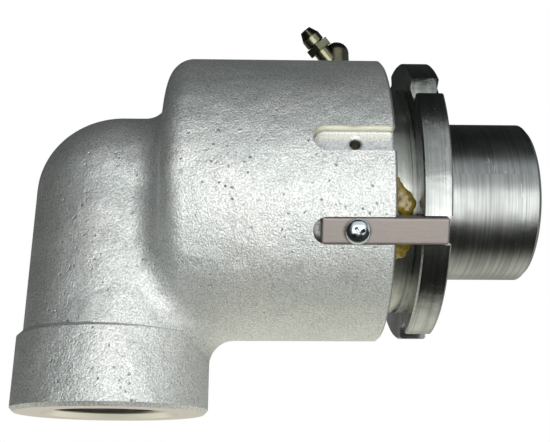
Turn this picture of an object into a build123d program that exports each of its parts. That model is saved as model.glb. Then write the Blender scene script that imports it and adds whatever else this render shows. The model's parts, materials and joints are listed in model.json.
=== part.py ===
from build123d import *
from math import cos, radians, sin
import os

# Hydraulic rotary union with an elbow inlet: a cast housing, a rotor that turns in two
# ball bearings, a packing of V-rings on the pressure side and a locked ring nut.
# Frame: origin at the mouth of the inlet thread, just inside the port face, +X along the
# rotor axis towards its free end, +Z up. A station is a place along X, and a turn is an
# angle about the rotor axis, with 0 towards -Y and 90 upwards. Lengths are in millimetres.

os.makedirs("parts", exist_ok=True)

# ------------------------------------------------------------------ driving dimensions

# Fits
running_gap = 0.05  # radial clearance between a turning piece and a fixed one
fitting_gap = 0.02  # radial clearance of a piece that stays where it was pushed in
seat_gap = 0.1  # end clearance between stacked pieces
bar_side_gap = 0.15  # lock bar to slot wall

# Housing casting
axis_height = 75.0  # rotor axis above the port face
barrel_wall = 12.5  # from the bearings' outside to the barrel's
barrel_start = 17.4  # closed end of the barrel
barrel_corner = 8.5
barrel_edge = 0.8
pipe_step = 19.0  # from the barrel's outside in to the pipe's
pipe_offset = 0.95  # the pipe leans to the barrel, so its step to the collar fades there
neck_flatness = 2.3  # the elbow is flatter than it is wide where it meets the barrel
blend_radius = 9.0
collar_step = 1.0  # from the pipe's outside to the collar's
collar_height = 26.2
collar_bevel = 2.5
collar_lip = 1.3  # chamfer round the port face
passage_step = 1.0  # from the rotor's bore to the flow passage

# Ports, G 1 1/4 internal threads bored to the core diameter
port_thread_radius = 19.475
port_thread_depth = 22.0
port_mouth_step = 2.725  # from the thread to the rim of its mouth
port_mouth_depth = 1.6
port_cone_depth = 2.0

# Rotor
rotor_shoulder = 5.5  # from the bearings' bore to the rotor's outside
rotor_bore_radius = 16.0
rotor_projection = 34.7  # from the ring nut's face to the rotor's free end
rotor_tip_gap = 0.5
rotor_edge = 1.2
seal_journal_step = 1.5  # from the bearings' bore down to the seal journal
journal_lead = 1.5

# Packing of V-rings between the seal journal and its bore
packing_wall = 3.2  # barrel wall behind the packing
packing_section = 8.0  # from the seal journal to the packing's bore
header_edge = 1.0
vee_count = 3
vee_step = 2.4
vee_rise = 2.8
vee_taper = 0.5
support_back = 2.0
bearing_land = 3.0  # from the packing circlip to the bearing shoulder

# Circlips
packing_circlip_thickness = 1.5
packing_circlip_width = 3.4
packing_circlip_depth = 1.5
rotor_circlip_thickness = 1.75
rotor_circlip_width = 3.6
rotor_circlip_depth = 1.25
circlip_ear_radius = 2.2
circlip_ear_hole = 1.1
circlip_ear_spread = 9.0
circlip_groove_gap = 0.1

# Ball bearings, 45 x 75 x 16
bearing_bore_radius = 22.5
bearing_section = 15.0  # from the bore to the outside
bearing_width = 16.0
bearing_corner = 1.0
race_wall = 3.135  # from the balls to the rings' seats
ball_count = 12
race_gap = 0.05
ring_wall = 4.6  # from the rings' seats to their shoulders
cage_half_height = 1.5
cage_rim = 0.835  # from the balls to the cage's sides
pocket_gap = 0.08
spacer_length = 4.4

# Grease ring behind the ring nut
grease_ring_length = 7.0
grease_ring_gap = 2.0  # from the rotor to the grease ring's bore
grease_groove_width = 4.0
grease_groove_depth = 2.0
grease_hole_radius = 1.5
grease_hole_count = 6

# Ring nut
nut_thread_step = 1.4  # from the bearings' outside to the nut's thread
nut_thread_length = 8.0
nut_thread_gap = 0.05
nut_shank_step = 1.0  # from the nut's thread to its shank
nut_bore_gap = 3.0  # from the rotor to the nut's bore
nut_gap = 7.9  # from the housing's end to the flange
nut_groove_width = 1.4
nut_groove_depth = 0.9
nut_groove_land = 1.4
flange_inset = 0.9  # from the barrel's outside in to the flange's
flange_thickness = 8.9
flange_edge = 0.5
notch_count = 6
notch_width = 9.0
notch_floor_gap = 0.4  # from the lock bar down to the notch's floor
notch_turn = -30.0

# Dust seal in the ring nut, 56 x 72 x 8
seal_section = 8.0  # from the rotor to the seal's outside
seal_width = 7.7
seal_case_wall = 1.0
seal_web_gap = 3.6  # from the rotor to the case's web
lip_edge = 0.9
lip_reach = 6.6
lip_wall = 1.3
garter_radius = 0.9
garter_gap = 0.15  # round the garter spring in the lip's groove

# Locking slots, bar and screw
slot_turns = (3.0, -30.0)
slot_width = 8.5
slot_depth = 4.5
slot_length = 25.3
bar_thickness = 4.8
bar_corner = 0.7
bar_tip_gap = 2.5  # from the slot's rounded end to the bar
bar_end_gap = 1.1  # from the bar's end to the ring nut's face
screw_station_back = 12.0  # from the housing's end to the screws' and nipple's station
screw_core_radius = 1.65
screw_hole_depth = 7.0
screw_hole_bevel = 0.55
screw_length = 5.5  # below the slot's floor
screw_clearance = 0.2
screw_shank_gap = 0.05
screw_head_radius = 4.0
screw_head_height = 3.0
screw_head_round = 1.9

# Grease nipple, 45 degree pattern with an M8 x 1 stub
nipple_seat_depth = 0.3  # spot face below the top of the barrel
nipple_pad_radius = 8.0
nipple_thread_radius = 3.5
nipple_thread_depth = 8.0
nipple_stub_length = 6.0
nipple_passage_radius = 1.6
nipple_hex = 9.0  # across the flats
nipple_hex_height = 5.0
nipple_column_radius = 4.7
nipple_column_height = 15.3
nipple_column_round = 4.4
branch_height = 4.0  # where the branch leaves the column's axis
branch_lean = 45.0
branch_swing = 25.0  # from -X towards -Y
branch_stem_radius = 3.1
branch_hex_start = 9.6
branch_hex_length = 2.8
branch_hex_turn = -12.0
branch_neck_radius = 2.9
branch_head_start = 12.9
branch_head_radius = 3.6
branch_head_length = 3.0
branch_tip = 19.3
branch_tip_radius = 2.1
check_ball_radius = 1.1
check_ball_gap = 0.06
check_mouth_radius = 0.85
check_mouth_length = 0.5
spring_wire = 0.16
spring_radius = 0.8
spring_length = 4.0
spring_turns = 5

# ------------------------------------------------------- radii about the rotor axis

bearing_outer_radius = bearing_bore_radius + bearing_section
pitch_radius = bearing_bore_radius + bearing_section / 2
ball_radius = bearing_section / 2 - race_wall
rotor_radius = bearing_bore_radius + rotor_shoulder
seal_journal_radius = bearing_bore_radius - seal_journal_step
packing_bore_radius = seal_journal_radius + packing_section
passage_radius = rotor_bore_radius + passage_step
grease_ring_bore_radius = rotor_radius + grease_ring_gap
nut_thread_radius = bearing_outer_radius + nut_thread_step
nut_shank_radius = nut_thread_radius + nut_shank_step
nut_bore_radius = rotor_radius + nut_bore_gap
seal_outer_radius = rotor_radius + seal_section
seal_web_radius = rotor_radius + seal_web_gap
barrel_radius = bearing_outer_radius + barrel_wall
flange_radius = barrel_radius - flange_inset
slot_floor = barrel_radius - slot_depth
notch_floor = slot_floor - notch_floor_gap
nipple_seat = barrel_radius - nipple_seat_depth

# ---------------------------------------------- levels and radii about the inlet's axis

face_level = -port_mouth_depth
axis_level = face_level + axis_height
collar_top = face_level + collar_height
port_mouth_radius = port_thread_radius + port_mouth_step
pipe_radius = barrel_radius - pipe_step
neck_half_height = pipe_radius - neck_flatness
collar_radius = pipe_radius + collar_step

# ------------------------------------------------------------------ stations along X

packing_start = barrel_start + packing_wall
vee_start = packing_start + header_edge
support_start = vee_start + vee_count * (vee_step + seat_gap) + seat_gap
support_end = support_start + vee_rise + support_back
packing_circlip_start = support_end + circlip_groove_gap
packing_circlip_end = packing_circlip_start + packing_circlip_thickness
bearing_b_start = packing_circlip_end + bearing_land
spacer_start = bearing_b_start + bearing_width
bearing_a_start = spacer_start + spacer_length
grease_ring_start = bearing_a_start + bearing_width
nut_start = grease_ring_start + grease_ring_length
barrel_end = nut_start + nut_thread_length
flange_start = barrel_end + nut_gap
flange_end = flange_start + flange_thickness
rotor_end = flange_end + rotor_projection
rotor_tip = packing_start + rotor_tip_gap
seal_start = flange_end - seal_width
slot_tip = barrel_end - slot_length
screw_station = barrel_end - screw_station_back

# ------------------------------------------------------------------ planes and helpers

rotor_axis = Axis((0, 0, axis_level), (1, 0, 0))
rotor_plane = Plane((0, 0, axis_level), x_dir=(1, 0, 0), z_dir=(0, -1, 0))
port_plane = Plane((0, 0, 0), x_dir=(1, 0, 0), z_dir=(0, -1, 0))


def cross_plane(station):
    """Plane across the rotor axis at a station, facing the rotor's free end."""
    return Plane((station, 0, axis_level), x_dir=(0, 1, 0), z_dir=(1, 0, 0))


def outward(turn):
    """Direction away from the rotor axis at a turn."""
    return Vector(0, -cos(radians(turn)), sin(radians(turn)))


def radial_plane(turn, station, height):
    """Plane that faces outwards at a turn, centred at a station and a height."""
    origin = Vector(station, 0, axis_level) + outward(turn) * height
    return Plane(origin, x_dir=(1, 0, 0), z_dir=outward(turn))


def section(*outline, plane=rotor_plane):
    """Closed outline of (station, radius) points, ready to be revolved."""
    with BuildSketch(plane) as profile:
        with BuildLine():
            Polyline(*outline, close=True)
        make_face()
    return profile.sketch


def bullet(radius, centre, dome_height):
    """Half section of a domed cylinder from the port up to the rotor axis."""
    with BuildSketch(port_plane) as profile:
        with BuildLine():
            side = Polyline((centre, 0), (centre + radius, 0), (centre + radius, axis_level))
            dome = EllipticalCenterArc(
                (centre, axis_level), radius, dome_height, start_angle=0, arc_size=90
            )
            Line(dome @ 1, side @ 0)
        make_face()
    return profile.sketch


def save(piece, name):
    """Label a finished piece and write it as its own STEP file."""
    piece.part.label = name
    export_step(piece.part, f"parts/{name}.step")


# ------------------------------------------------------------------ housing

packing_groove_radius = packing_bore_radius + packing_circlip_depth
bearing_seat_radius = bearing_outer_radius + fitting_gap
nut_mouth_radius = nut_shank_radius + barrel_edge
pipe_axis = Axis((pipe_offset, 0, 0), (0, 0, 1))

with BuildPart() as elbow:
    revolve(bullet(pipe_radius, pipe_offset, neck_half_height), axis=pipe_axis)
    with BuildSketch(cross_plane(pipe_offset)):
        Ellipse(pipe_radius, neck_half_height)
    extrude(amount=barrel_start + barrel_corner - pipe_offset)

with BuildPart() as housing:
    # Barrel, with its closed end rounded
    with BuildSketch(rotor_plane):
        with BuildLine():
            barrel = FilletPolyline(
                (barrel_start, 0),
                (barrel_start, barrel_radius),
                (barrel_end, barrel_radius),
                radius=barrel_corner,
            )
            Polyline(barrel @ 1, (barrel_end, 0), barrel @ 0)
        make_face()
    revolve(axis=rotor_axis)
    chamfer(housing.edges().group_by(Axis.X)[-1], barrel_edge)

    # Elbow: a domed pipe and its neck, blended into the barrel where they meet it
    add(elbow.part)
    fillet(housing.edges(Select.NEW), blend_radius)

    # Port collar
    collar = section(
        (0, face_level),
        (collar_radius - collar_lip, face_level),
        (collar_radius, face_level + collar_lip),
        (collar_radius, collar_top - collar_bevel),
        (collar_radius - collar_bevel, collar_top),
        (0, collar_top),
        plane=port_plane,
    )
    revolve(collar, axis=Axis.Z)

    # Flow passage from the port up to the rotor axis
    revolve(bullet(passage_radius, 0, passage_radius), axis=Axis.Z, mode=Mode.SUBTRACT)
    thread_top = face_level + port_thread_depth
    port = section(
        (0, face_level),
        (port_mouth_radius, face_level),
        (port_thread_radius, 0),
        (port_thread_radius, thread_top),
        (passage_radius, thread_top + port_cone_depth),
        (0, thread_top + port_cone_depth),
        plane=port_plane,
    )
    revolve(port, axis=Axis.Z, mode=Mode.SUBTRACT)

    # Bores for the packing, its circlip, the bearings and the ring nut
    circlip_groove_end = packing_circlip_end + circlip_groove_gap
    bores = section(
        (0, 0),
        (0, passage_radius),
        (packing_start, passage_radius),
        (packing_start, packing_bore_radius),
        (support_end, packing_bore_radius),
        (support_end, packing_groove_radius),
        (circlip_groove_end, packing_groove_radius),
        (circlip_groove_end, packing_bore_radius),
        (bearing_b_start, packing_bore_radius),
        (bearing_b_start, bearing_seat_radius),
        (nut_start, bearing_seat_radius),
        (nut_start, nut_thread_radius),
        (barrel_end - (nut_mouth_radius - nut_thread_radius), nut_thread_radius),
        (barrel_end, nut_mouth_radius),
        (barrel_end, 0),
    )
    revolve(bores, axis=rotor_axis, mode=Mode.SUBTRACT)

    # Milled locking slots with a tapped hole in each floor
    for turn in slot_turns:
        with BuildSketch(radial_plane(turn, barrel_end, slot_floor)):
            with Locations((-slot_length / 2, 0)):
                SlotOverall(slot_length, slot_width)
            with Locations((-slot_length / 4, 0)):
                Rectangle(slot_length / 2, slot_width)
        extrude(amount=barrel_radius, mode=Mode.SUBTRACT)
        with Locations(radial_plane(turn, screw_station, slot_floor)):
            CounterSinkHole(
                radius=screw_core_radius,
                counter_sink_radius=screw_core_radius + screw_hole_bevel,
                depth=screw_hole_depth,
                counter_sink_angle=90,
            )

    # Spot face, tapped hole and passage for the grease nipple
    with BuildSketch(radial_plane(90, screw_station, nipple_seat)):
        Circle(nipple_pad_radius)
    extrude(amount=barrel_radius, mode=Mode.SUBTRACT)
    with BuildSketch(radial_plane(90, screw_station, nipple_seat)):
        Circle(nipple_thread_radius)
    extrude(amount=-nipple_thread_depth, mode=Mode.SUBTRACT)
    with BuildSketch(radial_plane(90, screw_station, nipple_seat)):
        Circle(nipple_passage_radius)
    extrude(amount=bearing_outer_radius - grease_groove_depth - nipple_seat, mode=Mode.SUBTRACT)
save(housing, "housing")

# ------------------------------------------------------------------ packing

packing_inner = seal_journal_radius + running_gap
packing_outer = packing_bore_radius - fitting_gap
packing_middle = (packing_inner + packing_outer) / 2

with BuildPart() as packing_header:
    header = section(
        (packing_start, packing_inner),
        (packing_start, packing_outer),
        (vee_start, packing_outer),
        (vee_start + vee_rise, packing_middle),
        (vee_start, packing_inner),
    )
    revolve(header, axis=rotor_axis)
save(packing_header, "packing_header")

for index in range(vee_count):
    lip_station = vee_start + seat_gap + index * (vee_step + seat_gap)
    heel_station = lip_station + vee_step
    with BuildPart() as v_ring:
        chevron = section(
            (lip_station, packing_outer),
            (lip_station + vee_rise, packing_middle),
            (lip_station, packing_inner),
            (heel_station, packing_inner + vee_taper),
            (heel_station + vee_rise, packing_middle),
            (heel_station, packing_outer - vee_taper),
        )
        revolve(chevron, axis=rotor_axis)
    save(v_ring, f"v_ring_{index + 1}")

with BuildPart() as packing_support:
    support = section(
        (support_start, packing_outer),
        (support_start + vee_rise, packing_middle),
        (support_start, packing_inner),
        (support_end, packing_inner),
        (support_end, packing_outer),
    )
    revolve(support, axis=rotor_axis)
save(packing_support, "packing_support")

# ------------------------------------------------------------------ circlips


def circlip_outline(station, inner, outer, ear_centre):
    """Open ring with two drilled ears at its gap, upwards of the rotor axis."""
    ears = [(ear_centre * sin(radians(side)), ear_centre * cos(radians(side)))
            for side in (-circlip_ear_spread, circlip_ear_spread)]
    reach = 2 * outer
    half_gap = radians(circlip_ear_spread)
    with BuildSketch(cross_plane(station)) as outline:
        Circle(outer)
        Circle(inner, mode=Mode.SUBTRACT)
        with BuildLine():
            Polyline(
                (0, 0),
                (-reach * sin(half_gap), reach * cos(half_gap)),
                (reach * sin(half_gap), reach * cos(half_gap)),
                close=True,
            )
        make_face(mode=Mode.SUBTRACT)
        with Locations(*ears):
            Circle(circlip_ear_radius)
        with Locations(*ears):
            Circle(circlip_ear_hole, mode=Mode.SUBTRACT)
    return outline.sketch


packing_circlip_outer = packing_groove_radius - circlip_groove_gap
packing_circlip_inner = packing_circlip_outer - packing_circlip_width
with BuildPart() as packing_circlip:
    extrude(
        circlip_outline(
            packing_circlip_start,
            packing_circlip_inner,
            packing_circlip_outer,
            packing_circlip_inner,
        ),
        amount=packing_circlip_thickness,
    )
save(packing_circlip, "packing_circlip")

rotor_circlip_inner = bearing_bore_radius - rotor_circlip_depth + circlip_groove_gap
rotor_circlip_outer = rotor_circlip_inner + rotor_circlip_width
rotor_circlip_start = bearing_b_start - circlip_groove_gap - rotor_circlip_thickness
with BuildPart() as rotor_circlip:
    extrude(
        circlip_outline(
            rotor_circlip_start,
            rotor_circlip_inner,
            rotor_circlip_outer,
            rotor_circlip_outer,
        ),
        amount=rotor_circlip_thickness,
    )
save(rotor_circlip, "rotor_circlip")

# ------------------------------------------------------------------ bearings and spacers

outer_shoulder = bearing_outer_radius - ring_wall
inner_shoulder = bearing_bore_radius + ring_wall
race_radius = ball_radius + race_gap
cage_half_width = ball_radius + cage_rim


def bearing_ring(start, seat_radius, shoulder_radius, corner):
    """Half section of a plain bearing ring with rounded seat corners cut as chamfers."""
    end = start + bearing_width
    inset = seat_radius + corner
    return section(
        (start, shoulder_radius),
        (end, shoulder_radius),
        (end, inset),
        (end - bearing_corner, seat_radius),
        (start + bearing_corner, seat_radius),
        (start, inset),
    )


for bearing, start in (("bearing_a", bearing_a_start), ("bearing_b", bearing_b_start)):
    middle = start + bearing_width / 2
    with BuildPart() as outer_ring:
        revolve(
            bearing_ring(start, bearing_outer_radius, outer_shoulder, -bearing_corner),
            axis=rotor_axis,
        )
        with BuildSketch(rotor_plane):
            with Locations((middle, pitch_radius)):
                Circle(race_radius)
        revolve(axis=rotor_axis, mode=Mode.SUBTRACT)
    save(outer_ring, f"{bearing}_outer_ring")

    with BuildPart() as inner_ring:
        revolve(
            bearing_ring(
                start,
                bearing_bore_radius + fitting_gap,
                inner_shoulder,
                bearing_corner,
            ),
            axis=rotor_axis,
        )
        with BuildSketch(rotor_plane):
            with Locations((middle, pitch_radius)):
                Circle(race_radius)
        revolve(axis=rotor_axis, mode=Mode.SUBTRACT)
    save(inner_ring, f"{bearing}_inner_ring")

    with BuildPart(cross_plane(middle)) as balls:
        with PolarLocations(pitch_radius, ball_count):
            Sphere(ball_radius)
    save(balls, f"{bearing}_balls")

    with BuildPart() as cage:
        cage_band = section(
            (middle - cage_half_width, pitch_radius - cage_half_height),
            (middle + cage_half_width, pitch_radius - cage_half_height),
            (middle + cage_half_width, pitch_radius + cage_half_height),
            (middle - cage_half_width, pitch_radius + cage_half_height),
        )
        revolve(cage_band, axis=rotor_axis)
        for index in range(ball_count):
            with BuildSketch(radial_plane(index * 360 / ball_count, middle, 0)):
                Circle(ball_radius + pocket_gap)
            extrude(amount=bearing_outer_radius, mode=Mode.SUBTRACT)
    save(cage, f"{bearing}_cage")

spacers = (
    ("outer_spacer", outer_shoulder, bearing_outer_radius),
    ("inner_spacer", bearing_bore_radius + fitting_gap, inner_shoulder),
)
for name, inner, outer in spacers:
    with BuildPart() as spacer:
        with BuildSketch(cross_plane(spacer_start)):
            Circle(outer)
            Circle(inner, mode=Mode.SUBTRACT)
        extrude(amount=spacer_length)
    save(spacer, name)

# ------------------------------------------------------------------ grease ring

with BuildPart() as grease_ring:
    with BuildSketch(cross_plane(grease_ring_start)):
        Circle(bearing_outer_radius)
        Circle(grease_ring_bore_radius, mode=Mode.SUBTRACT)
    extrude(amount=grease_ring_length)
    with BuildSketch(cross_plane(screw_station - grease_groove_width / 2)):
        Circle(bearing_outer_radius)
        Circle(bearing_outer_radius - grease_groove_depth, mode=Mode.SUBTRACT)
    extrude(amount=grease_groove_width, mode=Mode.SUBTRACT)
    for index in range(grease_hole_count):
        turn = index * 360 / grease_hole_count
        with BuildSketch(radial_plane(turn, screw_station, 0)):
            Circle(grease_hole_radius)
        extrude(amount=bearing_outer_radius, mode=Mode.SUBTRACT)
save(grease_ring, "grease_ring")

# ------------------------------------------------------------------ ring nut

with BuildPart() as ring_nut:
    groove_end = flange_start - nut_groove_land
    groove_start = groove_end - nut_groove_width
    groove_radius = nut_shank_radius - nut_groove_depth
    nut_outline = section(
        (nut_start, nut_bore_radius),
        (nut_start, nut_thread_radius - nut_thread_gap),
        (barrel_end, nut_thread_radius - nut_thread_gap),
        (barrel_end, nut_shank_radius),
        (groove_start, nut_shank_radius),
        (groove_start, groove_radius),
        (groove_end, groove_radius),
        (groove_end, nut_shank_radius),
        (flange_start, nut_shank_radius),
        (flange_start, flange_radius - flange_edge),
        (flange_start + flange_edge, flange_radius),
        (flange_end - flange_edge, flange_radius),
        (flange_end, flange_radius - flange_edge),
        (flange_end, seal_outer_radius),
        (seal_start, seal_outer_radius),
        (seal_start, nut_bore_radius),
    )
    revolve(nut_outline, axis=rotor_axis)
    for index in range(notch_count):
        turn = notch_turn + index * 360 / notch_count
        with BuildSketch(radial_plane(turn, flange_start + flange_thickness / 2, notch_floor)):
            Rectangle(2 * flange_thickness, notch_width)
        extrude(amount=flange_radius, mode=Mode.SUBTRACT)
save(ring_nut, "ring_nut")

# ------------------------------------------------------------------ dust seal

seal_end = flange_end - seat_gap
seal_case_outer = seal_outer_radius - fitting_gap
with BuildPart() as seal_case:
    case_outline = section(
        (seal_start, seal_case_outer),
        (seal_end, seal_case_outer),
        (seal_end, seal_web_radius),
        (seal_end - seal_case_wall, seal_web_radius),
        (seal_end - seal_case_wall, seal_case_outer - seal_case_wall),
        (seal_start, seal_case_outer - seal_case_wall),
    )
    revolve(case_outline, axis=rotor_axis)
save(seal_case, "seal_case")

lip_radius = rotor_radius + running_gap
lip_start = seal_end - lip_reach
garter_station = lip_start + lip_wall
garter_centre = lip_radius + 2 * lip_wall + garter_radius
with BuildPart() as seal_lip:
    lip_outline = section(
        (seal_end, seal_web_radius),
        (seal_end, lip_radius + lip_edge),
        (seal_end - lip_edge, lip_radius),
        (seal_end - 2 * lip_edge, lip_radius + lip_edge),
        (garter_station + lip_edge, lip_radius + lip_edge),
        (garter_station, lip_radius),
        (lip_start, lip_radius + lip_wall),
        (lip_start, garter_centre),
        (seal_end - 2 * seal_case_wall, lip_radius + 2 * lip_wall),
        (seal_end - seal_case_wall, seal_web_radius),
    )
    revolve(lip_outline, axis=rotor_axis)
    with BuildSketch(rotor_plane):
        with Locations((garter_station, garter_centre)):
            Circle(garter_radius + garter_gap)
    revolve(axis=rotor_axis, mode=Mode.SUBTRACT)
save(seal_lip, "seal_lip")

with BuildPart() as garter_spring:
    with BuildSketch(rotor_plane):
        with Locations((garter_station, garter_centre)):
            Circle(garter_radius)
    revolve(axis=rotor_axis)
save(garter_spring, "garter_spring")

# ------------------------------------------------------------------ rotor

with BuildPart() as rotor:
    shoulder_station = grease_ring_start
    groove_start = rotor_circlip_start - circlip_groove_gap
    groove_radius = bearing_bore_radius - rotor_circlip_depth
    journal_end = packing_circlip_end + circlip_groove_gap
    thread_start = rotor_end - port_thread_depth
    rotor_outline = section(
        (rotor_tip, rotor_bore_radius),
        (rotor_tip, seal_journal_radius - journal_lead),
        (rotor_tip + 2 * journal_lead, seal_journal_radius),
        (journal_end, seal_journal_radius),
        (journal_end, bearing_bore_radius),
        (groove_start, bearing_bore_radius),
        (groove_start, groove_radius),
        (bearing_b_start, groove_radius),
        (bearing_b_start, bearing_bore_radius),
        (shoulder_station, bearing_bore_radius),
        (shoulder_station, rotor_radius),
        (rotor_end - rotor_edge, rotor_radius),
        (rotor_end, rotor_radius - rotor_edge),
        (rotor_end, port_mouth_radius),
        (rotor_end - port_mouth_depth, port_thread_radius),
        (thread_start, port_thread_radius),
        (thread_start - port_cone_depth, rotor_bore_radius),
    )
    revolve(rotor_outline, axis=rotor_axis)
save(rotor, "rotor")

# ------------------------------------------------------------------ lock bar and screw

lock_turn = slot_turns[1]
lock_axis = Axis((0, 0, axis_level), outward(lock_turn))
bar_start = slot_tip + bar_tip_gap
bar_end = flange_end - bar_end_gap
with BuildPart() as lock_bar:
    with BuildSketch(radial_plane(lock_turn, (bar_start + bar_end) / 2, slot_floor)):
        Rectangle(bar_end - bar_start, slot_width - 2 * bar_side_gap)
    extrude(amount=bar_thickness)
    fillet(lock_bar.edges(), bar_corner)
    with BuildSketch(radial_plane(lock_turn, screw_station, slot_floor)):
        Circle(screw_core_radius + screw_clearance)
    extrude(amount=bar_thickness, mode=Mode.SUBTRACT)
save(lock_bar, "lock_bar")

with BuildPart() as lock_screw:
    with BuildSketch(radial_plane(lock_turn, screw_station, slot_floor + bar_thickness)):
        Circle(screw_head_radius)
    extrude(amount=screw_head_height)
    fillet(lock_screw.edges().sort_by(lock_axis)[-1], screw_head_round)
    with BuildSketch(radial_plane(lock_turn, screw_station, slot_floor - screw_length)):
        Circle(screw_core_radius - screw_shank_gap)
    extrude(amount=screw_length + bar_thickness)
save(lock_screw, "lock_screw")

# ------------------------------------------------------------------ grease nipple

nipple_base = radial_plane(90, screw_station, nipple_seat)
lean = radians(branch_lean)
swing = radians(branch_swing)
branch_direction = Vector(-cos(swing) * sin(lean), -sin(swing) * sin(lean), cos(lean))
branch_origin = nipple_base.origin + Vector(0, 0, branch_height)
branch = Plane(branch_origin, x_dir=(0, 0, 1), z_dir=branch_direction)
branch_section = Plane(branch_origin, x_dir=branch.x_dir, z_dir=branch.y_dir)
branch_axis = Axis(branch_origin, branch_direction)
check_seat = branch_tip - check_mouth_length
ball_station = check_seat - check_ball_radius
spring_end = ball_station - check_ball_radius - seat_gap
spring_start = spring_end - spring_length
check_bore_radius = check_ball_radius + check_ball_gap

with BuildPart() as grease_nipple:
    with BuildSketch(nipple_base):
        RegularPolygon(nipple_hex / 2, 6, major_radius=False)
    extrude(amount=nipple_hex_height)
    with BuildSketch(nipple_base):
        Circle(nipple_column_radius)
    extrude(amount=nipple_column_height)
    fillet(grease_nipple.edges().group_by(Axis.Z)[-1], nipple_column_round)
    with BuildSketch(nipple_base):
        Circle(nipple_thread_radius - running_gap)
    extrude(amount=-nipple_stub_length)
    with BuildSketch(branch):
        Circle(branch_stem_radius)
    extrude(amount=branch_hex_start)
    with BuildSketch(branch.offset(branch_hex_start)):
        RegularPolygon(nipple_hex / 2, 6, major_radius=False, rotation=branch_hex_turn)
    extrude(amount=branch_hex_length)
    with BuildSketch(branch.offset(branch_hex_start + branch_hex_length)):
        Circle(branch_neck_radius)
    extrude(amount=branch_head_start - branch_hex_start - branch_hex_length)
    with BuildSketch(branch.offset(branch_head_start)):
        Circle(branch_head_radius)
    extrude(amount=branch_head_length)
    with BuildSketch(branch.offset(branch_head_start + branch_head_length)):
        Circle(branch_head_radius)
    with BuildSketch(branch.offset(branch_tip)):
        Circle(branch_tip_radius)
    loft()
    # Check ball's mouth and bore, spring bore and the grease way down to the stub
    with BuildSketch(branch.offset(check_seat)):
        Circle(check_mouth_radius)
    extrude(amount=check_mouth_length, mode=Mode.SUBTRACT)
    with BuildSketch(branch.offset(spring_start)):
        Circle(check_bore_radius)
    extrude(amount=check_seat - spring_start, mode=Mode.SUBTRACT)
    with BuildSketch(branch):
        Circle(check_mouth_radius)
    extrude(amount=spring_start, mode=Mode.SUBTRACT)
    with BuildSketch(nipple_base.offset(branch_height)):
        Circle(check_mouth_radius)
    extrude(amount=-branch_height - nipple_stub_length, mode=Mode.SUBTRACT)
save(grease_nipple, "grease_nipple")

with BuildPart(branch.offset(ball_station)) as check_ball:
    Sphere(check_ball_radius)
save(check_ball, "check_ball")

coil_height = spring_length - 2 * spring_wire
coil_centre = branch_origin + branch_direction * (spring_start + spring_wire)
with BuildPart() as check_spring:
    with BuildLine():
        coil = Helix(
            coil_height / spring_turns,
            coil_height,
            spring_radius,
            center=coil_centre,
            direction=branch_direction,
        )
    with BuildSketch(Plane(coil @ 0, z_dir=coil % 0)):
        RegularPolygon(spring_wire, 6)
    sweep(is_frenet=True)
save(check_spring, "check_spring")
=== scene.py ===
import bmesh
import bpy
import json
import math
from mathutils import Matrix, Vector


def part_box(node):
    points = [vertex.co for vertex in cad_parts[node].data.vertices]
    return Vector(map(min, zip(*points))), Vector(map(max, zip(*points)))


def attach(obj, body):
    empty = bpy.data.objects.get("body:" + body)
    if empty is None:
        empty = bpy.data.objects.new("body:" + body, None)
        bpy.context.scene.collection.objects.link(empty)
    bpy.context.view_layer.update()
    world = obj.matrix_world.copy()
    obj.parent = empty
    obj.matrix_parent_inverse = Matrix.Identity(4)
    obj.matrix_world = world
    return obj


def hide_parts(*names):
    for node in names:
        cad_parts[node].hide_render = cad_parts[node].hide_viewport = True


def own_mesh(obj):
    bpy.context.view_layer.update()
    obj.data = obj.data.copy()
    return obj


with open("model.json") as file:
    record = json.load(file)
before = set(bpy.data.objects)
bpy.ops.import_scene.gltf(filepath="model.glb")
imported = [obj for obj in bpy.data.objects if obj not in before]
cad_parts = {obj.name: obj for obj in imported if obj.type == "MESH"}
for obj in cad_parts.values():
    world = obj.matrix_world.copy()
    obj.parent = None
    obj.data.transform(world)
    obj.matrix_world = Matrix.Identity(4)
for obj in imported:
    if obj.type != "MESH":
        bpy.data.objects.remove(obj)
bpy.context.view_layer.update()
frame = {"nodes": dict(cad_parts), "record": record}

MM = 0.001

# ------------------------------------------------------------------ places in the frame

rotor_low, rotor_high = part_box("rotor")
nut_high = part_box("ring_nut")[1]
house_low, house_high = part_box("housing")
screw_low, screw_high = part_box("lock_screw")
ball_low, ball_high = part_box("check_ball")
mounts = {m["name"]: m for m in frame["record"]["mounts"]}
joints = {j["name"]: j for j in frame["record"]["behaviour"]["joints"]}
lift = joints["check_ball_lift"]

AXIS = (rotor_low.z + rotor_high.z) / 2          # height of the rotor's axis
FACE = house_low.z                               # the port face
BARREL_R = house_high.y
BARREL_END = house_high.x
ROTOR_END = rotor_high.x
THREAD_R = mounts["inlet_port"]["dims"]["r_mm"] / 1000
THREAD_L = mounts["inlet_port"]["dims"]["length_mm"] / 1000
THREAD_PITCH = 2.309 * MM                        # 11 threads to the inch
THREAD_RELIEF = 2.2 * MM
ROTOR_THREAD_L = 22.0 * MM
PORT_BORE_R = THREAD_R + 3.0 * MM                # all of the inlet's bore lies inside it
PORT_BORE_L = 24.0 * MM
SLOT_L = 27.5 * MM                               # the locking slots, from the barrel's end
END_CHAMFER = 2.0 * MM
SHANK_END = nut_high.x - 9.4 * MM                # the ring nut's shank, before its flange
SHANK_R = 39.9 * MM
LOCK_TURN = math.radians(-30.0)                  # the lock bar's place round the barrel
BAR_TOP = BARREL_R + 0.3 * MM
CENTRE = Vector((0.05, 0.0, AXIS))               # what the lamps point at

# ------------------------------------------------------------------ colours

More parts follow.
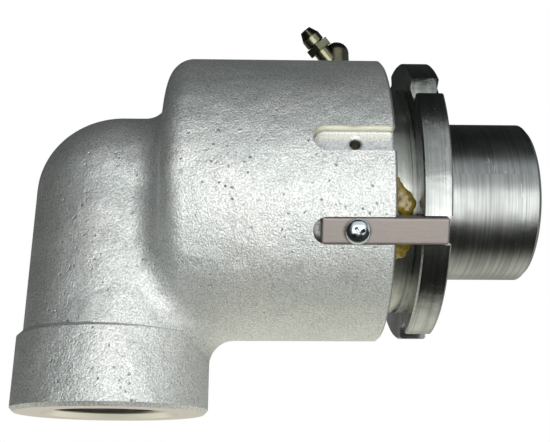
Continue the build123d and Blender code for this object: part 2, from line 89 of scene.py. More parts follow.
ZINC_LOW, ZINC_HIGH = (0.78, 0.805, 0.79), (0.86, 0.86, 0.845)
SPECK = (0.34, 0.355, 0.355)
PIT = (0.13, 0.13, 0.125)
DENT = (0.30, 0.30, 0.29)
MILLED_LOW, MILLED_HIGH = (0.50, 0.52, 0.53), (0.72, 0.735, 0.735)
# Painted creamy light for the slots' walls
PAINTED_WALL_LIGHT = (0.80, 0.765, 0.61)
PORT_FACE = (0.74, 0.66, 0.62)
PORT_BORE = (0.66, 0.64, 0.58)
# Painted shade along the internal threads of the port and the rotor
BORE_THREAD_SHADE = (0.36, 0.35, 0.32)
ROTOR_THREAD_SHADE = (0.25, 0.25, 0.24)
SCRATCH = (0.85, 0.85, 0.84)
SHANK_FILM = (0.54, 0.55, 0.48)
BAR_LOW, BAR_HIGH, BAR_GRAIN = (0.255, 0.220, 0.207), (0.302, 0.268, 0.252), (0.24, 0.205, 0.19)
RUBBER_LOW, RUBBER_HIGH = (0.018, 0.018, 0.018), (0.034, 0.033, 0.032)
FABRIC_LOW, FABRIC_HIGH = (0.030, 0.022, 0.016), (0.075, 0.056, 0.040)
# Painted shade between the garter spring's coils, then the wire's own colour
WIRE_GAP_SHADE, WIRE_HIGH = (0.10, 0.10, 0.10), (0.62, 0.62, 0.63)
GREASE_LOW, GREASE_HIGH = (0.15, 0.098, 0.010), (0.25, 0.180, 0.028)
PAPER_LOW, PAPER_HIGH = (0.70, 0.70, 0.69), (0.78, 0.78, 0.77)
# Painted shade for the corners, one colour for each finish
CAST_CORNER_SHADE, TURNED_CORNER_SHADE, BAR_CORNER_SHADE = (0.07, 0.07, 0.06), (0.07, 0.07, 0.065), (0.08, 0.07, 0.06)
POLISHED_CORNER_SHADE = (0.03, 0.03, 0.028)
WHITE = (1.0, 1.0, 1.0)
FLOOR_LIGHT = (1.0, 0.99, 0.86)
LOW_AIR, HIGH_AIR = (1.0, 0.99, 0.84), (0.90, 1.0, 1.0)

# ------------------------------------------------------------------ camera

EYE = Vector((0.0488, -0.2620, AXIS - 0.0951))
YAW, TILT = math.radians(1.19), math.radians(18.47)
SENSOR_WIDTH, LENS = 36.0, 50.45236              # mm

forward = Vector((math.sin(YAW) * math.cos(TILT), math.cos(YAW) * math.cos(TILT), math.sin(TILT)))
right = Vector((math.cos(YAW), -math.sin(YAW), 0.0))
up = right.cross(forward)
cam_data = bpy.data.cameras.new("camera")
cam_data.sensor_width = SENSOR_WIDTH
cam_data.lens = LENS
cam_data.clip_start = 0.01
cam_data.clip_end = 20.0
camera = bpy.data.objects.new("camera", cam_data)
bpy.context.scene.collection.objects.link(camera)
camera.matrix_world = Matrix((
    (right.x, up.x, -forward.x, EYE.x),
    (right.y, up.y, -forward.y, EYE.y),
    (right.z, up.z, -forward.z, EYE.z),
    (0, 0, 0, 1),
))
bpy.context.scene.camera = camera
bpy.context.scene.view_settings.view_transform = "Standard"


# ------------------------------------------------------------------ node helpers

class Tree:
    """A node tree that starts empty. Numbers and colours go straight onto the sockets."""

    def __init__(self, tree):
        self.tree = tree
        tree.nodes.clear()

    def new(self, kind, **settings):
        node = self.tree.nodes.new("ShaderNode" + kind)
        for key, setting in settings.items():
            setattr(node, key, setting)
        return node

    def link(self, source, socket):
        if isinstance(source, (int, float)):
            socket.default_value = source
        elif isinstance(source, (tuple, list)):
            missing = len(socket.default_value) - len(source)
            socket.default_value = tuple(source) + (1.0,) * missing
        else:
            self.tree.links.new(source, socket)

    def fill(self, node, sources):
        """Give a node's inputs, by name or number, and hand the node back."""
        for key, source in sources.items():
            self.link(source, node.inputs[key])
        return node

    def split(self, vector):
        return self.fill(self.new("SeparateXYZ"), {0: vector}).outputs

    def vector(self, x, y, z):
        return self.fill(self.new("CombineXYZ"), {0: x, 1: y, 2: z}).outputs[0]

    def math(self, kind, a, b=0.0):
        return self.fill(self.new("Math", operation=kind), {0: a, 1: b}).outputs[0]

    def add(self, a, b):
        return self.math("ADD", a, b)

    def sub(self, a, b):
        return self.math("SUBTRACT", a, b)

    def mul(self, a, b):
        return self.math("MULTIPLY", a, b)

    def most(self, a, b):
        return self.math("MAXIMUM", a, b)

    def length(self, a, b):
        return self.math("SQRT", self.add(self.mul(a, a), self.mul(b, b)))

    def ramp(self, value, low, high, start=0.0, end=1.0):
        """Smooth step from start to end as the value goes from low to high."""
        node = self.new("MapRange", interpolation_type="SMOOTHSTEP")
        limits = {"From Min": low, "From Max": high, "To Min": start, "To Max": end}
        return self.fill(node, {"Value": value, **limits}).outputs[0]

    def mix(self, factor, a, b):
        """Mix of two colours."""
        return self.fill(self.new("Mix", data_type="RGBA"), {0: factor, 6: a, 7: b}).outputs[2]

    def blend(self, factor, a, b):
        """Mix of two numbers."""
        return self.fill(self.new("Mix", data_type="FLOAT"), {0: factor, 2: a, 3: b}).outputs[0]


class Graph(Tree):
    """A material's node tree, with the shared frame's coordinates ready to use."""

    def __init__(self, name):
        self.material = bpy.data.materials.new(name)
        self.material.use_nodes = True
        super().__init__(self.material.node_tree)
        self.out = self.new("OutputMaterial")
        self.bsdf = self.new("BsdfPrincipled")
        self.link(self.bsdf.outputs[0], self.out.inputs["Surface"])
        self.place = self.new("TexCoord").outputs["Object"]
        self.x, self.y, self.z = self.split(self.place)
        self.rise = self.sub(self.z, AXIS)
        self.reach = self.length(self.y, self.rise)

    def turn(self):
        """Angle about the rotor's axis."""
        return self.math("ARCTAN2", self.rise, self.y)

    def noise(self, scale, detail=2.0, rough=0.5, vector=None, distort=0.0):
        place = self.place if vector is None else vector
        shape = {"Scale": scale, "Detail": detail, "Roughness": rough, "Distortion": distort}
        return self.fill(self.new("TexNoise"), {"Vector": place, **shape}).outputs["Fac"]

    def streaks(self, x, y, z, detail=2.0, rough=0.6, distort=0.0):
        """Noise over three coordinates that carry their own scales."""
        return self.noise(1.0, detail, rough, self.vector(x, y, z), distort)

    def patches(self, scale, low, high, detail=2.0, rough=0.5):
        """Noise stepped into soft-edged patches."""
        return self.ramp(self.noise(scale, detail, rough), low, high)

    def spots(self, scale, vector):
        """Distance to the nearest of many scattered points."""
        shape = {"Vector": vector, "Scale": scale, "Randomness": 1.0}
        return self.fill(self.new("TexVoronoi"), shape).outputs["Distance"]

    def warp(self, scale, amount):
        """The frame's coordinates pushed about by noise, for ragged shapes."""
        node = self.fill(self.new("TexNoise"), {"Vector": self.place, "Scale": scale, "Detail": 1.0})
        push = self.new("VectorMath", operation="MULTIPLY_ADD")
        sources = {0: node.outputs["Color"], 1: (amount, amount, amount), 2: self.place}
        return self.fill(push, sources).outputs[0]

    def facing(self):
        """The true normal's X, Y and Z in the shared frame."""
        normal = self.new("NewGeometry").outputs["True Normal"]
        turn = self.new("VectorTransform", vector_type="NORMAL", convert_from="WORLD", convert_to="OBJECT")
        return self.split(self.fill(turn, {0: normal}).outputs[0])

    def hollow(self, distance):
        """1 in the open and less in corners."""
        node = self.new("AmbientOcclusion", samples=6)
        return self.fill(node, {"Distance": distance}).outputs["AO"]

    def shade_corners(self, color, corner_shade, share, distance, low, high):
        """A colour with a share of painted shade in the corners, where the ambient occlusion is low."""
        return self.mix(self.ramp(self.hollow(distance), low, high), self.mix(share, color, corner_shade), color)

    def bump(self, height, distance, below=None):
        node = self.fill(self.new("Bump"), {"Strength": 1.0, "Distance": distance, "Height": height})
        if below is not None:
            self.link(below, node.inputs["Normal"])
        return node.outputs[0]

    def soften(self, radius):
        """Normals rounded over the edges."""
        return self.fill(self.new("Bevel", samples=6), {"Radius": radius}).outputs[0]

    def mix_normals(self, factor, a, b):
        return self.fill(self.new("Mix", data_type="VECTOR"), {0: factor, 4: a, 5: b}).outputs[1]

    def finish(self, color, rough, metal, normal, **uniform):
        sources = {"Base Color": color, "Roughness": rough, "Metallic": metal, "Normal": normal}
        self.fill(self.bsdf, sources)
        self.fill(self.bsdf, {key.replace("_", " "): number for key, number in uniform.items()})
        return self.material


def thread_ridge(g, reach, along, angle, depth_mask):
    """Ridge of an internal pipe thread, 0 at its root and away from the threaded wall."""
    wall = g.mul(g.ramp(reach, THREAD_R + 0.2 * MM, THREAD_R + 0.1 * MM), depth_mask)
    wall = g.mul(wall, g.ramp(reach, THREAD_R - 0.8 * MM, THREAD_R - 0.6 * MM))
    phase = g.add(g.mul(along, 1 / THREAD_PITCH), g.mul(angle, 1 / (2 * math.pi)))
    return g.mul(g.math("PINGPONG", phase, 0.5), wall)


# ------------------------------------------------------------------ zinc-plated casting

def casting():
    g = Graph("zinc_casting")
    nx, ny, nz = g.facing()
    pipe_reach = g.length(g.x, g.y)

    # Machined places: the slots' floors and walls, the end face, the port face, the bores
    in_barrel = g.ramp(g.x, BARREL_END - SLOT_L, BARREL_END - SLOT_L + 0.7 * MM)
    under_skin = g.ramp(g.reach, BARREL_R - 0.2 * MM, BARREL_R - 0.5 * MM)
    slots = g.mul(in_barrel, under_skin)
    at_end = g.ramp(g.x, BARREL_END - END_CHAMFER, BARREL_END - END_CHAMFER + 0.4 * MM)
    end_face = g.mul(g.ramp(nx, 0.6, 0.7), at_end)
    port_face = g.ramp(g.z, FACE + 0.1 * MM, FACE)
    near_mouth = g.ramp(g.z, PORT_BORE_L, PORT_BORE_L - 0.5 * MM)
    port_bore = g.mul(g.ramp(pipe_reach, PORT_BORE_R, PORT_BORE_R - 0.1 * MM), near_mouth)
    machined = g.most(g.most(slots, end_face), g.most(port_face, port_bore))

    # Cast skin: fine grain over lumps, broken by small ragged pits and a few shallow dents
    grain = g.noise(1700, 3.0, 0.65)
    lumps = g.noise(560)
    swell = g.noise(70)
    pits = g.mul(g.ramp(g.spots(470, g.warp(620, 1.1 * MM)), 0.26, 0.04), g.patches(190, 0.50, 0.62, 1.0))
    dents = g.mul(g.ramp(g.spots(70, g.warp(160, 4.0 * MM)), 0.10, 0.01), g.patches(41, 0.52, 0.62, 1.0))
    relief = g.add(g.mul(grain, 0.70), g.mul(lumps, 0.30))
    relief = g.sub(relief, g.mul(pits, 0.55))
    relief = g.sub(relief, g.mul(dents, 0.40))
    cast_normal = g.bump(relief, 0.42 * MM, g.bump(swell, 1.3 * MM))

    # Turned and milled marks, and the inlet's thread
    rings = g.streaks(g.mul(g.reach, 2600), g.mul(nx, 3), 0.0)
    port_rings = g.streaks(g.mul(pipe_reach, 2200), 0.0, 0.0)
    marks = g.blend(port_face, rings, port_rings)
    pipe_angle = g.math("ARCTAN2", g.y, g.x)
    threaded = g.ramp(g.z, THREAD_L, THREAD_L - 1.0 * MM)
    ridge = thread_ridge(g, pipe_reach, g.z, pipe_angle, threaded)
    milled = g.bump(g.add(g.mul(marks, 0.5), g.mul(grain, 0.5)), 0.22 * MM, g.soften(1.8 * MM))
    turned_normal = g.bump(ridge, THREAD_RELIEF, g.bump(marks, 0.05 * MM))
    machined_normal = g.mix_normals(slots, turned_normal, milled)

    # Colour: zinc grey with a little drift, dark in the pits, painted shade in the corners, and a painted creamy
    # light on the slots' walls
    across = g.math("ABSOLUTE", g.math("DIVIDE", g.add(g.mul(ny, g.y), g.mul(nz, g.rise)), g.reach))
    # Painted light: slot faces whose normal runs across the radius are made creamy
    wall_light_mask = g.mul(slots, g.ramp(across, 0.75, 0.45))
    speck = g.patches(1900, 0.40, 0.58, 2.0, 0.65)
    zinc = g.mix(g.patches(38, 0.35, 0.65, 3.0, 0.6), ZINC_LOW, ZINC_HIGH)
    zinc = g.mix(g.mul(g.sub(1.0, speck), 0.55), zinc, SPECK)
    zinc = g.mix(g.mul(pits, 0.62), zinc, PIT)
    zinc = g.mix(g.mul(dents, 0.20), zinc, DENT)
    bare = g.mix(wall_light_mask, g.mix(speck, MILLED_LOW, MILLED_HIGH), PAINTED_WALL_LIGHT)
    bare = g.mix(port_face, bare, PORT_FACE)
    bare = g.mix(port_bore, bare, PORT_BORE)
    # Painted shade darkens the port's thread along its helix
    bare = g.mix(g.mul(ridge, 1.7), bare, BORE_THREAD_SHADE)
    # Painted shade darkens the casting's corners and hollows
    color = g.shade_corners(g.mix(machined, zinc, bare), CAST_CORNER_SHADE, 0.62, 6.0 * MM, 0.15, 0.75)
    rough = g.blend(machined, g.add(0.42, g.mul(grain, 0.18)), 0.33)
    return g.finish(color, rough, 0.93, g.mix_normals(machined, cast_normal, machined_normal))


# ------------------------------------------------------------------ turned steel, plain or bright zinc

def turned(name, pale, dark, rough, lines, depth, scuffs=0.35, shade=0.22, feed_depth=0.02 * MM,
           patch_depth=0.0, threaded=False, film_end=None):
    """Turned about the rotor's axis: rough is a pair, lines the number of marks in a metre."""
    g = Graph(name)
    flat = g.ramp(g.math("ABSOLUTE", g.facing()[0]), 0.6, 0.8)
    angle = g.turn()
    along = g.blend(flat, g.x, g.reach)
    coarse = g.streaks(g.mul(along, lines * 0.28), g.mul(angle, 0.9), 0.0, 3.0)
    fine = g.streaks(g.mul(along, lines), g.mul(angle, 1.6), 3.0)
    wander = g.mul(g.noise(30, 1.0), 1.2)
    feed = g.streaks(g.add(g.mul(along, 1150), wander), g.mul(angle, 0.7), 7.0, 1.0, 0.5)
    marks = g.add(g.mul(coarse, 0.6), g.mul(fine, 0.4))
    hammered = g.noise(210, 3.0, 0.55)
    normal = g.bump(hammered, patch_depth, g.bump(feed, feed_depth, g.bump(marks, depth)))

    # Scuffs, short scratches and clouded patches
    scratch = g.streaks(g.mul(g.x, 900), g.mul(g.y, 90), g.mul(g.z, 160), 2.0, 0.7, 0.6)
    scratch = g.mul(g.ramp(scratch, 0.66, 0.72), g.patches(60, 0.48, 0.60))
    cloud = g.patches(55, 0.35, 0.68, 3.0, 0.6)
    color = g.mix(g.mul(g.sub(1.0, marks), 0.55), pale, dark)
    color = g.mix(g.mul(g.ramp(feed, 0.60, 0.36), 0.55), color, dark)
    color = g.mix(g.mul(cloud, shade), color, dark)
    color = g.mix(g.mul(scratch, scuffs), color, SCRATCH)
    if threaded:
        deep = g.ramp(g.x, ROTOR_END - ROTOR_THREAD_L, ROTOR_END - ROTOR_THREAD_L + 0.5 * MM)
        ridge = thread_ridge(g, g.reach, g.x, angle, deep)
        normal = g.bump(ridge, THREAD_RELIEF, normal)
        # Painted shade darkens the rotor's thread along its helix
        color = g.mix(g.mul(ridge, 1.4), color, ROTOR_THREAD_SHADE)
    # Painted shade darkens the corners
    color = g.shade_corners(color, TURNED_CORNER_SHADE, 0.55, 4.0 * MM, 0.1, 0.7)
    rough = g.add(g.blend(cloud, *rough), g.mul(scratch, 0.12))
    if film_end is not None:
        film = g.ramp(g.x, film_end + 0.4 * MM, film_end)
        color = g.mix(g.mul(film, 0.32), color, SHANK_FILM)
        rough = g.add(rough, g.mul(film, 0.12))
    return g.finish(color, rough, 1.0, normal)


# ------------------------------------------------------------------ the other finishes

def ground_bar():
    g = Graph("ground_bar")
    grain = g.noise(1700, 3.0, 0.6)
    streak = g.streaks(g.mul(g.x, 120), g.mul(g.y, 2200), g.mul(g.z, 2200))
    cloud = g.patches(120, 0.35, 0.65, 3.0, 0.6)
    color = g.mix(g.mul(grain, 0.30), g.mix(cloud, BAR_LOW, BAR_HIGH), BAR_GRAIN)
    # Painted shade darkens the bar's corners and the gaps round it
    color = g.shade_corners(color, BAR_CORNER_SHADE, 0.5, 3.0 * MM, 0.2, 0.8)
    normal = g.bump(g.add(g.mul(grain, 0.6), g.mul(streak, 0.4)), 0.06 * MM, g.soften(0.4 * MM))
    return g.finish(color, g.add(0.42, g.mul(cloud, 0.12)), 0.75, normal)


def polished(name, color, rough, grain_scale, depth, shade=0.3, soft=0.0):
    g = Graph(name)
    grain = g.noise(grain_scale, 3.0, 0.6)
    cloud = g.patches(grain_scale * 0.12, 0.35, 0.65, 3.0, 0.6)
    dark = tuple(0.55 * c for c in color)
    # The cloud varies the tone at random; painted shade darkens the corners
    tone = g.shade_corners(g.mix(g.mul(cloud, shade), color, dark), POLISHED_CORNER_SHADE, 0.6, 2.5 * MM, 0.1, 0.7)
    normal = g.bump(grain, depth, g.soften(soft) if soft else None)
    return g.finish(tone, g.add(rough, g.mul(cloud, 0.10)), 1.0, normal)


def rubber():
    g = Graph("nitrile_rubber")
    grain = g.noise(2600, 3.0, 0.6)
    color = g.mix(g.patches(160, 0.35, 0.65), RUBBER_LOW, RUBBER_HIGH)
    return g.finish(color, g.add(0.42, g.mul(grain, 0.2)), 0.0, g.bump(grain, 0.04 * MM))


def packing():
    g = Graph("packing_fabric")
    weave = g.mul(g.math("SINE", g.mul(g.x, 9000)), g.math("SINE", g.mul(g.turn(), 260)))
    color = g.mix(g.ramp(weave, -0.6, 0.6), FABRIC_LOW, FABRIC_HIGH)
    return g.finish(color, 0.62, 0.0, g.bump(weave, 0.04 * MM))


def garter_wire():
    g = Graph("garter_wire")
    coils = g.math("SINE", g.mul(g.turn(), 480))
    # Painted shade darkens the wire between the coils
    color = g.mix(g.ramp(coils, -0.8, 0.4), WIRE_GAP_SHADE, WIRE_HIGH)
    return g.finish(color, 0.28, 1.0, g.bump(coils, 0.25 * MM))


def grease_smear():
    g = Graph("grease_smear")
    color = g.mix(g.patches(420, 0.35, 0.65, 3.0, 0.6), GREASE_LOW, GREASE_HIGH)
    normal = g.bump(g.noise(1400), 0.10 * MM, g.bump(g.noise(500), 0.18 * MM))
    return g.finish(color, 0.16, 0.0, normal, Subsurface_Weight=0.10, Coat_Weight=0.6, IOR=1.47)


looks = {
    "housing": casting(),
    "ring_nut": turned(
        "bright_zinc_turned", (0.45, 0.46, 0.455), (0.18, 0.19, 0.185), (0.18, 0.30), 5200, 0.03 * MM,
        shade=0.75, patch_depth=0.14 * MM, film_end=SHANK_END,
    ),
    "rotor": turned(
        "bright_zinc_rotor", (0.365, 0.375, 0.37), (0.16, 0.165, 0.165), (0.27, 0.37), 4300, 0.06 * MM,
        scuffs=0.5, feed_depth=0.09 * MM, threaded=True,
    ),
    "lock_bar": ground_bar(),
    "lock_screw": polished("screw_zinc", (0.62, 0.67, 0.71), 0.11, 1500, 0.02 * MM),
    "grease_nipple": polished("olive_chromate", (0.19, 0.185, 0.12), 0.17, 1400, 0.02 * MM, 0.45, 0.35 * MM),
    "seal_case": polished("pressed_steel", (0.50, 0.50, 0.49), 0.30, 1500, 0.03 * MM),
    "seal_lip": rubber(),
    "garter_spring": garter_wire(),
    "check_ball": polished("ball_steel", (0.72, 0.72, 0.71), 0.08, 1800, 0.004 * MM),
    "check_spring": polished("spring_steel", (0.50, 0.50, 0.51), 0.22, 2200, 0.01 * MM),
}
grease_look = grease_smear()
turned_steel = turned("turned_steel", (0.56, 0.56, 0.57), (0.30, 0.30, 0.30), (0.22, 0.34), 4200, 0.04 * MM)
bearing_steel = turned(
    "bearing_steel", (0.70, 0.70, 0.71), (0.50, 0.50, 0.51), (0.08, 0.16), 6000, 0.01 * MM, scuffs=0.1
)
looks_by_word = {
    "v_ring_": packing(),
    "balls": looks["check_ball"],
    "cage": polished("cage_steel", (0.50, 0.49, 0.44), 0.28, 1300, 0.03 * MM),
    "circlip": polished("blackened_steel", (0.10, 0.10, 0.11), 0.34, 1500, 0.03 * MM),
    "inner_ring": bearing_steel,
    "outer_ring": bearing_steel,
}
for name, node in frame["nodes"].items():
    by_word = (look for word, look in looks_by_word.items() if word in name)
    look = looks.get(name) or next(by_word, turned_steel)
    node.data.materials.clear()
    node.data.materials.append(look)


# ------------------------------------------------------------------ modelling helpers

def outward(turn):
    """Away from the rotor's axis at a turn: 0 towards -Y, a quarter turn up."""
    return Vector((0.0, -math.cos(turn), math.sin(turn)))


def axes_about(direction):
    """Two unit vectors square to a direction, and the direction itself."""
    w = Vector(direction).normalized()
    u = Vector((1.0, 0.0, 0.0))
    u = (u - w * u.dot(w)).normalized()
    return u, w.cross(u), w


def circle_angles(count):
    return (2 * math.pi * i / count for i in range(count))


def lathe(profile, origin, direction, steps=72):
    """Closed solid turned about an axis, from (radius, height) points in mm that start and end on it."""
    u, v, w = axes_about(direction)
    work = bmesh.new()
    rings = []
    for radius, height in profile:
        centre = origin + w * (height * MM)
        if radius == 0:
            rings.append([work.verts.new(centre)])
            continue
        spokes = (u * math.cos(a) + v * math.sin(a) for a in circle_angles(steps))
        rings.append([work.verts.new(centre + spoke * radius * MM) for spoke in spokes])
    for low, high in zip(rings, rings[1:]):
        for i in range(steps):
            j = (i + 1) % steps
            corners = (low[i % len(low)], low[j % len(low)], high[j % len(high)], high[i % len(high)])
            work.faces.new(list(dict.fromkeys(corners)))
    bmesh.ops.recalc_face_normals(work, faces=work.faces)
    return work


def coil(start, direction, length, radius, wire, turns, steps=32, sides=10):
    """Helical spring of round wire, with steps to a turn and sides round the wire."""
    u, v, w = axes_about(direction)
    work = bmesh.new()
    count = turns * steps
    previous = None
    for i in range(count + 1):
        angle = 2 * math.pi * turns * i / count
        spoke = u * math.cos(angle) + v * math.sin(angle)
        middle = start + w * (wire + (length - 2 * wire) * i / count)
        ring = []
        for a in circle_angles(sides):
            ring.append(work.verts.new(middle + spoke * (radius + wire * math.cos(a)) + w * wire * math.sin(a)))
        if previous is None:
            work.faces.new(ring)
        else:
            for k in range(sides):
                n = (k + 1) % sides
                work.faces.new((previous[k], previous[n], ring[n], ring[k]))
        previous = ring
    work.faces.new(previous)
    bmesh.ops.recalc_face_normals(work, faces=work.faces)
    return work


def wing(origin, axes, top, floor, half_length, half_width):
    """Tapered block for one arm of the cross recess; each half size is (at the top, at the floor)."""
    u, v, w = axes
    work = bmesh.new()
    corners = []
    for level, place in ((0, top), (1, floor)):
        for a, b in ((-1, -1), (1, -1), (1, 1), (-1, 1)):
            point = origin + w * place + u * (a * half_length[level]) + v * (b * half_width[level])
            corners.append(work.verts.new(point))
    for ring in ((0, 1, 2, 3), (7, 6, 5, 4), (0, 4, 5, 1), (1, 5, 6, 2), (2, 6, 7, 3), (3, 7, 4, 0)):
        work.faces.new([corners[i] for i in ring])
    bmesh.ops.recalc_face_normals(work, faces=work.faces)
    return work


def drops_mesh(drops):
    """Flattened drops against the shank, from (x past the barrel's end, turn, radius) in mm and degrees."""
    past_shift, sink, swell, flatten = 0.6, 0.30, 1.2, 0.62
    work = bmesh.new()
    for past, turn, radius in drops:
        way = outward(math.radians(turn))
        centre = Vector((BARREL_END + (past + past_shift) * MM, 0.0, AXIS)) + way * (SHANK_R + sink * radius * MM)
        u, v, w = axes_about(way)
        drop = bmesh.ops.create_icosphere(work, subdivisions=3, radius=swell * radius * MM)["verts"]
        for vert in drop:
            ball = vert.co.copy()
            vert.co = centre + u * ball.x + v * ball.y + w * (ball.z * flatten)
    return work


def as_object(name, work):
    mesh = bpy.data.meshes.new(name)
    work.to_mesh(mesh)
    work.free()
    obj = bpy.data.objects.new(name, mesh)
    bpy.context.scene.collection.objects.link(obj)
    return obj


def settle(obj):
    """Apply an object's modifiers to its mesh."""
    graph = bpy.context.evaluated_depsgraph_get()
    graph.update()
    mesh = bpy.data.meshes.new_from_object(obj.evaluated_get(graph))
    obj.modifiers.clear()
    obj.data = mesh


def cut(obj, cutter):
    """Take one solid out of another and throw the cutter away."""
    tool = obj.modifiers.new("cut", "BOOLEAN")
    tool.operation = "DIFFERENCE"
    tool.solver = "EXACT"
    tool.object = cutter
    settle(obj)
    bpy.data.objects.remove(cutter)


def dress(obj, look):
    """Give an object its look and smooth faces."""
    obj.data.materials.clear()
    obj.data.materials.append(look)
    for face in obj.data.polygons:
        face.use_smooth = True


# ------------------------------------------------------------------ pan-head screw, seated on the lock bar

HEAD_R, HEAD_EDGE, HEAD_CROWN = 4.0, 0.85, 2.15  # mm
SCREW_TIP = ((0, -10.3), (1.1, -10.3), (1.6, -9.8), (1.6, 0.0))
HEAD_FOOT = ((3.75, 0.0), (3.96, 0.12), (HEAD_R, 0.35))
RECESS_TURNS = (28, 118)                         # degrees
RECESS_TOP, RECESS_FLOOR = 3.4 * MM, 0.9 * MM    # heights over the head's seat
RECESS_HALF_LENGTHS, RECESS_HALF_WIDTHS = (2.5 * MM, 0.9 * MM), (0.62 * MM, 0.36 * MM)

dome_angles = [math.radians(6 * step) for step in range(15)]
dome = [(HEAD_R * math.cos(a), HEAD_EDGE + HEAD_CROWN * math.sin(a)) for a in dome_angles]
screw_profile = [*SCREW_TIP, *HEAD_FOOT, *dome, (0, HEAD_EDGE + HEAD_CROWN)]
screw_x = (screw_low.x + screw_high.x) / 2
screw_seat = Vector((screw_x, 0.0, AXIS)) + outward(LOCK_TURN) * BAR_TOP
screw = as_object("pan_screw", lathe(screw_profile, screw_seat, outward(LOCK_TURN)))
side, over, out_way = axes_about(outward(LOCK_TURN))
for degrees in RECESS_TURNS:
    turn = math.radians(degrees)
    arm = side * math.cos(turn) + over * math.sin(turn)
    recess_axes = (arm, out_way.cross(arm), out_way)
    block = wing(screw_seat, recess_axes, RECESS_TOP, RECESS_FLOOR, RECESS_HALF_LENGTHS, RECESS_HALF_WIDTHS)
    cut(screw, as_object("wing", block))
dress(screw, looks["lock_screw"])
screw.data.set_sharp_from_angle(angle=math.radians(32))
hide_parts("lock_screw")
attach(screw, "housing")

# ------------------------------------------------------------------ check spring, under the check ball

SPRING_LENGTH, SPRING_R, WIRE_R, SPRING_GAP, COILS = 4.0 * MM, 0.8 * MM, 0.16 * MM, 0.05 * MM, 5

inward = Vector(lift["axis"]).normalized()
spring_top = (ball_low + ball_high) / 2 + inward * ((ball_high.x - ball_low.x) / 2 + SPRING_GAP)
spring = as_object("check_coil", coil(spring_top, inward, SPRING_LENGTH, SPRING_R, WIRE_R, COILS))
dress(spring, looks["check_spring"])
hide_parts("check_spring")
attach(spring, "housing")
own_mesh(spring)

# ------------------------------------------------------------------ grease squeezed out round the shank

SKIN_VOXEL = 0.20 * MM
smears = {
    "grease_above_bar": (
        (0.9, -10, 0.9), (1.2, -13, 1.4), (1.9, -16, 1.9), (3.2, -18, 2.1), (4.6, -20.5, 1.9),
        (2.0, -21, 2.2), (3.6, -23.5, 2.0), (1.0, -18, 1.5),
    ),
    "grease_below_bar": (
        (1.2, -37, 1.7), (2.6, -38, 2.0), (3.9, -39.5, 1.7), (1.9, -41.5, 1.9), (2.9, -43.5, 1.5),
        (1.1, -45, 1.1),
    ),
    "grease_at_top": ((0.8, 37, 0.9), (1.1, 41, 1.2), (0.9, 46, 1.0), (1.6, 50, 0.8)),
    "grease_at_foot": ((0.9, -82, 0.8), (1.2, -86, 1.1), (0.9, -91, 0.8), (1.5, -95, 0.6)),
}
for name, drops in smears.items():
    grease = as_object(name, drops_mesh(drops))
    skin = grease.modifiers.new("skin", "REMESH")
    skin.mode = "VOXEL"
    skin.voxel_size = SKIN_VOXEL
    calm = grease.modifiers.new("calm", "SMOOTH")
    calm.factor = 0.5
    calm.iterations = 40
    settle(grease)
    dress(grease, grease_look)
    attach(grease, "housing")

# ------------------------------------------------------------------ floor

FLOOR_DROP = 0.55                                # below the port face
FLOOR_HALF = 4.0
CAMERA_GLOW = 0.42                               # lifts the floor to a pale grey where it is seen

work = bmesh.new()
bmesh.ops.create_grid(work, x_segments=1, y_segments=1, size=FLOOR_HALF)
floor = as_object("floor", work)
floor.location = (CENTRE.x, 0.0, FACE - FLOOR_DROP)
g = Graph("pale_floor")
paper = g.mix(g.noise(6, 3.0), PAPER_LOW, PAPER_HIGH)
g.finish(paper, 0.65, 0.0, g.bump(g.noise(500), 0.1 * MM))
rays = g.new("LightPath").outputs
glow = g.fill(g.new("Emission"), {"Strength": g.mul(rays["Is Camera Ray"], CAMERA_GLOW)})
pale = g.fill(g.new("AddShader"), {0: g.bsdf.outputs[0], 1: glow.outputs[0]})
# Metal sees the floor pale behind the object, dark in front of it and fading far away
near_level = g.ramp(g.y, -0.03, 0.36, 0.03, 1.08)
far_level = g.ramp(g.y, 0.6, 1.5, 1.0, 0.38)
mirrored = g.fill(g.new("Emission"), {"Strength": g.mul(near_level, far_level), "Color": FLOOR_LIGHT})
choices = {0: rays["Is Glossy Ray"], 1: pale.outputs[0], 2: mirrored.outputs[0]}
g.link(g.fill(g.new("MixShader"), choices).outputs[0], g.out.inputs["Surface"])
floor.data.materials.append(g.material)

# ------------------------------------------------------------------ world

DARKEST = 0.022                                  # the room where nothing pale stands
PLAIN_LEVEL = 0.30                               # for all other light

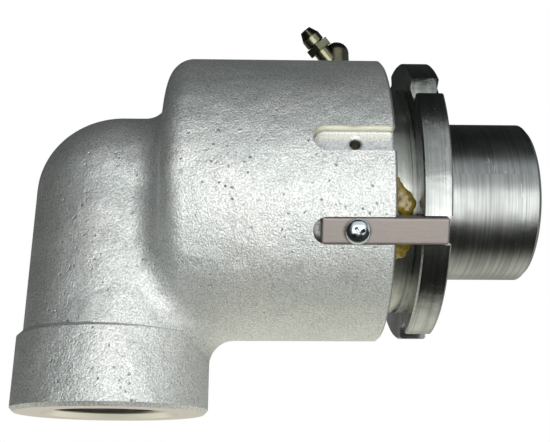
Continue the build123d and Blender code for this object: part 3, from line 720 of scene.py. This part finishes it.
world = bpy.data.worlds.new("studio")
bpy.context.scene.world = world
world.use_nodes = True
sky = Tree(world.node_tree)
path = sky.new("LightPath").outputs
seen = path["Is Camera Ray"]
shiny = sky.most(path["Is Glossy Ray"], path["Is Transmission Ray"])
across, away, height = sky.split(sky.new("TexCoord").outputs["Generated"])
# Metal and glass see a dim room: paler low down behind the object and to its right, dark overhead
behind = sky.mul(sky.ramp(away, 0.02, 0.50, 0.0, 0.38), sky.ramp(height, -0.35, 0.30, 1.0, 0.03))
behind = sky.mul(behind, sky.ramp(across, -0.80, -0.20, 0.30, 1.0))
beside = sky.mul(sky.ramp(across, 0.25, 0.85, 0.0, 0.30), sky.ramp(height, 0.25, 0.85, 1.0, 0.0))
room = sky.add(sky.add(behind, beside), DARKEST)
hidden = sky.add(sky.mul(room, shiny), sky.mul(sky.sub(1.0, shiny), PLAIN_LEVEL))
# The camera sees plain white; the rest is warm low down and cool higher up
level = sky.add(seen, sky.mul(hidden, sky.sub(1.0, seen)))
air = sky.mix(sky.ramp(height, -0.6, 0.5), LOW_AIR, HIGH_AIR)
back = sky.fill(sky.new("Background"), {"Strength": level, "Color": sky.mix(seen, air, WHITE)})
sky.link(back.outputs[0], sky.new("OutputWorld").inputs[0])

# ------------------------------------------------------------------ lamps: name, place, size, watts, colour

lamps = (
    ("key", (0.13, -0.60, AXIS - 0.25), (0.70, 0.50), 2.85, (1.0, 1.0, 0.97)),
    ("wide", (0.15, -0.66, AXIS + 0.01), (1.10, 1.05), 3.35, (0.95, 0.99, 1.0)),
    ("low", (0.05, 0.75, AXIS - 0.32), (1.2, 0.6), 0.42, (1.0, 1.0, 0.88)),
    ("back", (-0.15, 0.95, AXIS), (1.2, 0.7), 0.36, WHITE),
    ("rim", (0.75, -0.15, AXIS + 0.05), (0.25, 0.5), 0.2, WHITE),
)
for name, place, (width, tall), watts, color in lamps:
    data = bpy.data.lights.new(name, "AREA")
    data.shape = "RECTANGLE"
    data.size = width
    data.size_y = tall
    data.energy = watts
    data.color = color
    lamp = bpy.data.objects.new(name, data)
    bpy.context.scene.collection.objects.link(lamp)
    lamp.location = place
    lamp.rotation_mode = "QUATERNION"
    lamp.rotation_quaternion = (CENTRE - Vector(place)).to_track_quat("-Z", "Y")
    lamp.visible_camera = False
